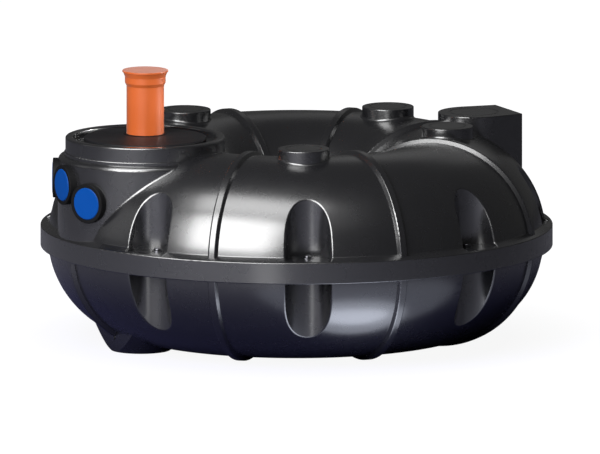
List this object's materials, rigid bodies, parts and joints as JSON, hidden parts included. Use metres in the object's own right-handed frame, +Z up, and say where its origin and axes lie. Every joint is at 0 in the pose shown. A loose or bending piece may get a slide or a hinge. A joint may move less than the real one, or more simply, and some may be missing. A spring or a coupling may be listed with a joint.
{
  "type": "sewage holding tank",
  "caption": "Ring-shaped black plastic sewage holding tank with a manhole turret, drain pipe, plugged side inlets and blank stubs.",
  "frame": {"origin": "on the vertical axis of the ring, at the level of the floor the tank stands on", "axes": "+Z up along the ring's axis, -X towards the manhole turret, +X towards the U-shaped turret"},
  "size_m": [2.1968, 2.18, 1.19],
  "materials": {
    "shell_black": "satin moulded polyethylene",
    "lid_black": "fine grain moulded plastic",
    "pipe_orange": "satin extruded pipe plastic",
    "plug_blue": "satin moulded plastic",
    "seal_rubber": "matt sealing rubber"
  },
  "bodies": {
    "root": {"upper_shell_manhole_bay": "shell_black", "upper_shell_turret_bay": "shell_black", "upper_shell_bay_1": "shell_black", "upper_shell_bay_2": "shell_black", "upper_shell_bay_3": "shell_black", "upper_shell_bay_4": "shell_black", "lower_shell_sump_bay": "shell_black", "lower_shell_bay_1": "shell_black", "lower_shell_bay_2": "shell_black", "lower_shell_bay_3": "shell_black", "lower_shell_bay_4": "shell_black", "lower_shell_bay_5": "shell_black", "lower_shell_bay_6": "shell_black", "manhole_lid": "lid_black", "pipe_seal": "seal_rubber", "drain_pipe": "pipe_orange", "pipe_plug": "pipe_orange", "inlet_seal_1": "seal_rubber", "inlet_plug_1": "plug_blue", "inlet_seal_2": "seal_rubber", "inlet_plug_2": "plug_blue", "inlet_seal_3": "seal_rubber", "inlet_plug_3": "plug_blue"}
  },
  "joints": []
}
